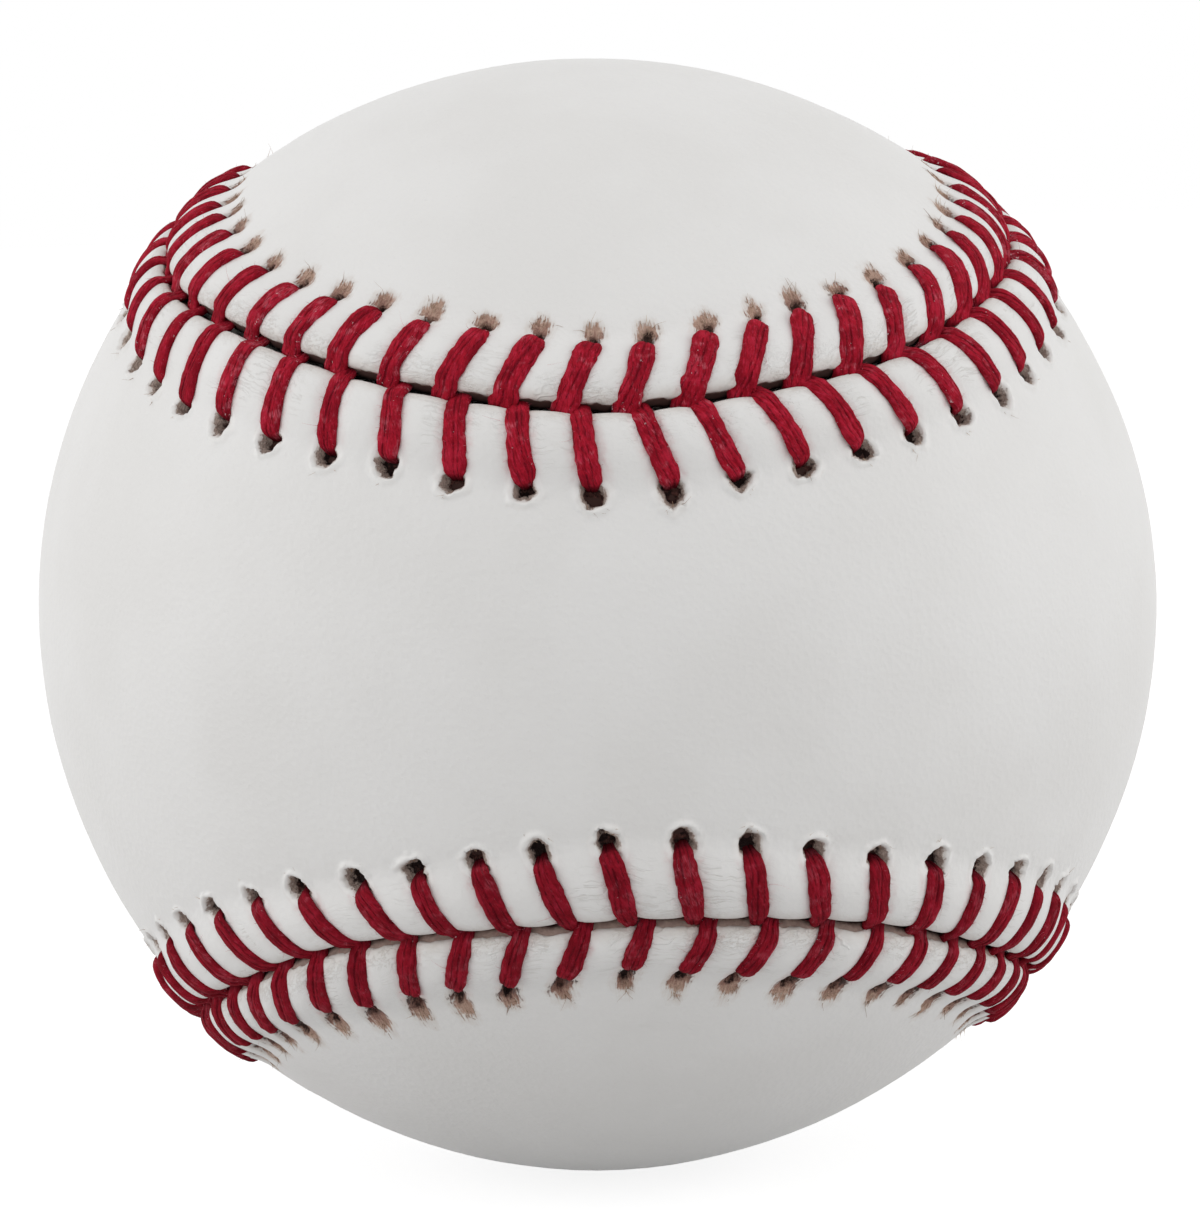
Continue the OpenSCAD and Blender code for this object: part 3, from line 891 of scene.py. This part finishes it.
    def loose_fibres(self):
        """Tan fibres that stand off the torn suede."""
        side, legs = self.side, self.legs
        draw = np.random.default_rng(31 + side)
        leg = np.repeat(np.arange(STITCHES), TAN_HAIRS[side])
        spot_x = 0.34 * draw.standard_normal(len(leg)) + 0.5 * legs.aside[leg]
        back_from_rim = draw.uniform(0.05, 0.9, len(leg)) * (1 if side == BACK else 0.5)
        spot_off = legs.torn[leg] - back_from_rim
        root_s = legs.at(leg, spot_off) + spot_x
        root = beside_seam(root_s, side * spot_off) * (BALL_R + 0.02)
        ahead = beside_seam(root_s + 0.6 * spot_x, side * (spot_off + 0.6)) * BALL_R
        away = unit(ahead - root + 0.12 * unit(root) + 0.20 * draw.standard_normal(root.shape))
        lengths = draw.uniform(0.25, 0.75, len(leg))
        fibres(self.parts, root, away, lengths, draw, radius=0.027, sag=0.15, curl=0.9)


# ---- Stitches ----

LEG_RINGS = 34
PLY_COLUMNS = 7
UNDER_COLUMNS = 7
LEG_SIDES = 2 * PLY_COLUMNS + UNDER_COLUMNS
HALF_WIDE = {BACK: 0.74, FRONT: 0.70}     # half the usual width of a leg
HALF_THICK = 0.29
FUZZ_HAIRS = 26                           # short hairs on each leg
LONG_HAIR_CHANCE = 0.7                    # share of the legs that have one long hair

# Half widths along a leg, as shares of the usual one: where its foot lies above the other
# legs' feet at the gap, and where it starts below them
WIDTH_PLACES = [-1.9, -0.4, 0.0, 0.5, 1.2, 2.2, 3.1, 3.9, 4.4, 4.6]
WIDTHS_ABOVE = {BACK: [0.60, 0.92, 1.14, 1.12, 0.97, 0.97, 1.05, 1.02, 0.82, 0.40],
                FRONT: [0.45, 0.50, 0.68, 0.86, 0.98, 1.03, 1.02, 0.97, 0.86, 0.60]}
WIDTHS_BELOW = {BACK: [0.50, 0.54, 0.68, 0.78, 0.90, 0.92, 0.91, 0.88, 0.72, 0.46],
                FRONT: [0.55, 0.72, 0.98, 1.02, 0.93, 0.93, 1.00, 1.04, 0.90, 0.56]}


def leg_path(legs, k):
    """Points of one leg as [off, height], from under the other panel into the hole."""
    end, pull = legs.end[k], legs.pull[k]
    off = np.r_[0.62, 0.95, 1.3, 1.7, CREST_OFF, np.linspace(2.6, end - 0.36, 5)]
    lie = leather_height(np.zeros_like(off), off, pull) + 0.20
    lower = -0.14 * (1 - legs.over[k])
    start = np.array([[-1.9, -1.12], [-1.0, -1.08], [-0.66, -0.86], [-0.48, -0.50],
                      [-0.32, -0.14 + lower], [-0.05, 0.06 + lower], [0.30, 0.19 + 0.5 * lower]])
    last = leather_height(np.zeros(1), np.array([end - 0.1]), pull)[0]
    finish = np.array([[end - 0.16, last + 0.14], [end - 0.02, last - 0.12], [end + 0.03, -0.40],
                       [end + 0.05, -0.70]])
    return np.vstack([start, np.stack([off, lie], -1), finish])


def smooth_path(path, count):
    """A smooth line through the points, with rings that crowd at the bends."""
    t = np.r_[0, np.cumsum(np.linalg.norm(np.diff(path, axis=0), axis=1) ** 0.6)]
    fine_t = np.linspace(0, t[-1], 240)
    fine = np.stack([np.interp(fine_t, t, path[:, i]) for i in range(2)], -1)
    kernel = np.hanning(17)
    kernel /= kernel.sum()
    padded = np.vstack([np.repeat(fine[:1], 8, 0), fine, np.repeat(fine[-1:], 8, 0)])
    fine = np.stack([np.convolve(padded[:, i], kernel, "valid") for i in range(2)], -1)
    return fine[np.linspace(0, len(fine) - 1, count).round().astype(int)]


def leg_width(legs, k, off):
    """Half the width of leg k: broad feet where it lies over the gap, narrow where it starts."""
    along = off * 4.5 / legs.end[k]
    over = legs.over[k]
    shape = over * np.interp(along, WIDTH_PLACES, WIDTHS_ABOVE[legs.side]) \
        + (1 - over) * np.interp(along, WIDTH_PLACES, WIDTHS_BELOW[legs.side])
    return HALF_WIDE[legs.side] * legs.width[k] * shape


def leg_section(furrow, lean):
    """Rings of one leg's section: two plies that meet in a furrow, over a flat underside."""
    ease = (1 - np.cos(math.pi * np.arange(PLY_COLUMNS + 1) / PLY_COLUMNS)) / 2
    f = furrow[:, None]
    left = -1 + (f + 1) * ease[None, :]
    right = f + (1 - f) * ease[None, 1:]
    across = np.concatenate([left, right], 1)
    middle = np.where(across <= f, (f - 1) / 2, (f + 1) / 2)
    half = np.where(across <= f, (f + 1) / 2, (1 - f) / 2)
    arch = np.sqrt(np.clip(1 - ((across - middle) / half) ** 2, 0, 1)) \
        * np.minimum(1, half / 0.55) ** 0.5
    body = (1 - np.abs(across) ** 2.6) ** (1 / 1.9)
    sign = np.where(across <= f, -1.0, 1.0)
    up = 0.72 * body + 0.30 * arch + lean * sign * arch
    turn = np.linspace(0, math.pi, UNDER_COLUMNS + 1)[1:-1]
    under = np.broadcast_to(np.cos(turn), (len(furrow), UNDER_COLUMNS - 1))
    down = np.broadcast_to(-np.sin(turn) ** 0.8, under.shape)
    return np.concatenate([across, under], 1), np.concatenate([up, down], 1)


class Leg:
    """One leg of thread: its middle line with the ways across and up, and its hairs."""

    def __init__(self, legs, k):
        self.legs, self.k, self.draw = legs, k, legs.draw
        end = legs.end[k]
        self.off, height = smooth_path(leg_path(legs, k), LEG_RINGS).T
        off = self.off
        s = legs.at(np.full(LEG_RINGS, k), off) \
            + 0.9 * legs.aside[k] * smooth_step(end - 1.0, end + 0.1, off)
        sway = 0.04 * self.wave(off * 1.3) * smooth_step(0.2, 1.0, off)
        self.centre = beside_seam(s + sway, legs.side * off) * (BALL_R + height[:, None])
        self.ahead = unit(np.gradient(self.centre, axis=0))
        self.across = unit(np.cross(self.ahead, unit(self.centre)))
        self.up = np.cross(self.across, self.ahead)
        steps = np.linalg.norm(np.diff(self.centre, axis=0), axis=1)
        run = np.r_[0, np.cumsum(steps)]
        self.run = run - np.interp(0.0, off, run)        # length along the leg from the gap
        self.width = leg_width(legs, k, off) * (1 + 0.03 * self.wave(self.run * 1.9))
        self.thick = HALF_THICK * np.interp(off, [-0.5, 0.2, 1.5, end - 0.3, end],
                                            [0.85, 0.90, 1.0, 1.0, 0.85])

    def wave(self, angle):
        """A wave with a random start."""
        return np.sin(angle + self.draw.uniform(0, 6.3))

    def add_to(self, parts):
        """Two plies side by side; the furrow between them runs slightly askew."""
        legs, k, off, draw = self.legs, self.k, self.off, self.draw
        run = self.run[:, None]
        furrow = 0.20 * draw.standard_normal() + draw.uniform(-0.5, 0.5) * (self.run / 5 - 0.45) \
            + 0.08 * self.wave(self.run * 1.3)
        furrow = np.clip(furrow, -0.62, 0.62)
        xs, zs = leg_section(furrow, draw.uniform(-0.20, 0.20))
        centre, across = self.centre[:, None, :], self.across[:, None, :]
        ripple = 0.045 * self.wave(xs * 12 + run * 1.7) + 0.04 * self.wave(xs * 21 - run * 1.1) \
            + 0.09 * value_noise(centre + across * xs[..., None] * 0.7, 0.8)
        zs = zs + ripple * np.clip(zs, 0, 1)
        rim = 1 + 0.030 * self.wave(self.run * 5.3)[:, None] * np.sign(xs) \
            + 0.022 * draw.standard_normal((LEG_RINGS, 1)) \
            + 0.05 * value_noise(centre + across * xs[..., None], 0.5)
        tube = centre + across * (self.width[:, None] * xs * rim)[..., None] \
            + self.up[:, None, :] * (self.thick[:, None] * zs)[..., None]

        # Shade in the hole, in the gap, and where the foot starts below the others
        in_hole = smooth_step(legs.end[k] - 0.14, legs.end[k] + 0.02, off) * 0.9
        in_gap = smooth_step(-0.22, -0.50, off) * 0.9
        below = smooth_step(0.35, -0.15, off) * 0.55 * (1 - legs.over[k])
        shade = np.maximum(np.maximum(in_hole, in_gap), below)
        ids = parts.add_points(tube, ply=xs - furrow[:, None],
                               shade=np.broadcast_to(shade[:, None], xs.shape))
        ids = ids.reshape(LEG_RINGS, LEG_SIDES)
        corners, uv = grid_faces(ids, k + RIM_U * xs, np.broadcast_to(run, ids.shape))
        closing = corners[:, 1] < corners[:, 0]
        uv[closing, 1:3, 0] -= STITCHES
        parts.add_faces(corners, uv)
        for cap in (ids[0][::-1], ids[-1]):
            parts.add_faces(cap[None, :], np.full((1, LEG_SIDES, 2), (k, 0.0)))

    def short_hair(self):
        """Root and way of a hair that stands off the rims or the top of the leg."""
        draw = self.draw
        ring = int(draw.integers(8, LEG_RINGS - 5))
        aside = draw.uniform(-1, 1)
        aside = np.sign(aside) * abs(aside) ** 0.25
        rise = 0.15 + 0.8 * np.sqrt(max(0.0, 1 - aside * aside))
        across, ahead, up = self.across[ring], self.ahead[ring], self.up[ring]
        root = self.centre[ring] + across * aside * self.width[ring] * 0.95 \
            + up * self.thick[ring] * rise
        return root, unit(across * aside + ahead * draw.uniform(-1.3, 1.3)
                          + up * draw.uniform(-0.2, 0.5))

    def long_hair(self):
        draw = self.draw
        ring = int(draw.integers(10, LEG_RINGS - 8))
        aside = draw.choice([-1, 1])
        across = self.across[ring] * aside
        return (self.centre[ring] + across * self.width[ring] * 0.9,
                unit(across + self.ahead[ring] * draw.uniform(-0.9, 0.9)))


def stitch_piece(side):
    """All the legs of one panel, with their fuzz."""
    legs, parts = LEGS[side], MeshParts(ply=0.5, shade=0.0)
    draw = legs.draw
    short, long = [], []
    for k in range(STITCHES):
        leg = Leg(legs, k)
        leg.add_to(parts)
        short += [leg.short_hair() for _ in range(FUZZ_HAIRS)]
        if draw.random() < LONG_HAIR_CHANCE:
            long.append(leg.long_hair())
    roots, ways = np.array(short).swapaxes(0, 1)
    fibres(parts, roots, ways, draw.uniform(0.10, 0.36, len(roots)), draw,
           radius=0.012, sag=0.2, curl=0.7)
    roots, ways = np.array(long).swapaxes(0, 1)
    fibres(parts, roots, ways, draw.uniform(0.6, 1.3, len(roots)), draw,
           radius=0.010, sag=0.22, curl=0.9, steps=6)
    name = "stitches_back_panel_thread" if side == BACK else "stitches_front_panel_thread"
    fuzz = hair_finish(name + "_fuzz", FUZZ_DARK, PALE_RED)
    piece = parts.build(name, [thread_finish(name), fuzz])
    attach(piece, "root")
    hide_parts("stitches_back_panel" if side == BACK else "stitches_front_panel")


# ---- Centre and windings: the CAD solids, with their materials ----

def dress_inner_nodes():
    grey = wool_finish("grey_wool_yarn", (0.20, 0.19, 0.18), (0.46, 0.45, 0.43), 1.1)
    white = wool_finish("white_wool_yarn", (0.52, 0.50, 0.45), (0.80, 0.78, 0.72), 0.9)
    finishing = wool_finish("finishing_yarn", (0.50, 0.49, 0.46), (0.78, 0.77, 0.73), 0.45)
    black = rubber_finish("black_rubber", (0.018, 0.018, 0.019), (0.05, 0.05, 0.052))
    red = rubber_finish("red_rubber", (0.36, 0.035, 0.030), (0.48, 0.09, 0.07))
    dress = {
        "cork_core": cork_finish(), "black_half_shell_front": black,
        "black_half_shell_back": black, "shell_washer": red, "red_rubber_layer": red,
        "grey_wool_winding_inner": grey, "white_wool_winding": white,
        "grey_wool_winding_outer": grey, "finishing_winding": finishing,
    }
    for node, material in dress.items():
        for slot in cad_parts[node].material_slots:
            slot.material = material


# ---- Studio ----

WORLD_LEVEL = 0.64
PAPER = 0.66             # of the floor, as the ball sees it
FLOOR_HALF = 3.0
FLOOR_GAP = 0.5          # from the ball's lowest point, in millimetres
LAMPS = [
    ("overhead_softbox", (0.0, -0.25, 0.90), (1.2, 0.9), 0.93),
    ("left_softbox", (-0.90, -0.20, 0.15), (0.9, 0.9), 4.05),
    ("right_softbox", (0.90, -0.20, 0.15), (0.9, 0.9), 3.90),
]


def seen_directly(g):
    """1 for rays on which the floor and the backdrop show as the white background."""
    path = g.node("ShaderNodeLightPath")
    return path.out("Is Camera Ray").largest(path.out("Is Glossy Ray")).largest(
        path.out("Is Transmission Ray"))


def studio():
    scene = bpy.context.scene
    scene.view_settings.view_transform = "Standard"

    floor_mesh = bpy.data.meshes.new("studio_floor")
    corners = [(x * FLOOR_HALF, y * FLOOR_HALF, 0) for x, y in ((-1, -1), (1, -1), (1, 1), (-1, 1))]
    floor_mesh.from_pydata(corners, [], [(0, 1, 2, 3)])
    floor = bpy.data.objects.new("studio_floor", floor_mesh)
    floor.location.z = -(BALL_R + FLOOR_GAP) * MM
    scene.collection.objects.link(floor)
    material, g = new_material("studio_paper")
    paper = g.node("ShaderNodeBsdfDiffuse", {}, {"Color": (PAPER, PAPER, PAPER, 1)})
    faint = g.node("ShaderNodeBsdfDiffuse", {}, {"Color": (0.30, 0.30, 0.30, 1)})
    glow = g.node("ShaderNodeEmission", {}, {"Color": (1, 1, 1, 1), "Strength": 0.86})
    pale = g.node("ShaderNodeAddShader", {}, {0: faint, 1: glow})
    both = g.node("ShaderNodeMixShader", {}, {0: seen_directly(g), 1: paper, 2: pale})
    g.node("ShaderNodeOutputMaterial", {}, {"Surface": both})
    floor_mesh.materials.append(material)

    world = bpy.data.worlds.new("studio")
    scene.world = world
    w = Shader(world)
    level = seen_directly(w) * (1 - WORLD_LEVEL) + WORLD_LEVEL
    backdrop = w.node("ShaderNodeBackground", {}, {"Color": (1, 1, 1, 1), "Strength": level})
    w.node("ShaderNodeOutputWorld", {}, {"Surface": backdrop})

    for name, place, size, power in LAMPS:
        data = bpy.data.lights.new(name, "AREA")
        data.shape, data.size, data.size_y, data.energy = "RECTANGLE", size[0], size[1], power
        lamp = bpy.data.objects.new(name, data)
        lamp.location = place
        lamp.rotation_mode = "QUATERNION"
        lamp.rotation_quaternion = Vector(place).to_track_quat("Z", "Y")
        scene.collection.objects.link(lamp)


# The camera as fitted to the photograph: its lens, its right and its way back from the ball, and
# how far it stands back, left and down
LENS = 140.3
TO_RIGHT, TO_BACK = (0.9983, -0.0474, -0.0324), (-0.0440, -0.9939, 0.1010)
STANDS_BACK, STANDS_LEFT, STANDS_DOWN = 0.3212, 0.00002, 0.00041


def camera():
    data = bpy.data.cameras.new("camera")
    data.sensor_width, data.lens = 36.0, LENS
    data.clip_start, data.clip_end = 0.02, 20.0
    right = Vector(TO_RIGHT)
    back = Vector(TO_BACK).normalized()
    up = back.cross(right).normalized()
    right = up.cross(back)
    eye = back * STANDS_BACK - right * STANDS_LEFT - up * STANDS_DOWN
    view = Matrix((right, up, back)).transposed().to_4x4()
    view.translation = eye
    obj = bpy.data.objects.new("camera", data)
    obj.matrix_world = view
    bpy.context.scene.collection.objects.link(obj)
    bpy.context.scene.camera = obj


camera()
studio()
dress_inner_nodes()
for panel in (BACK, FRONT):
    Panel(panel).build()
    stitch_piece(panel)
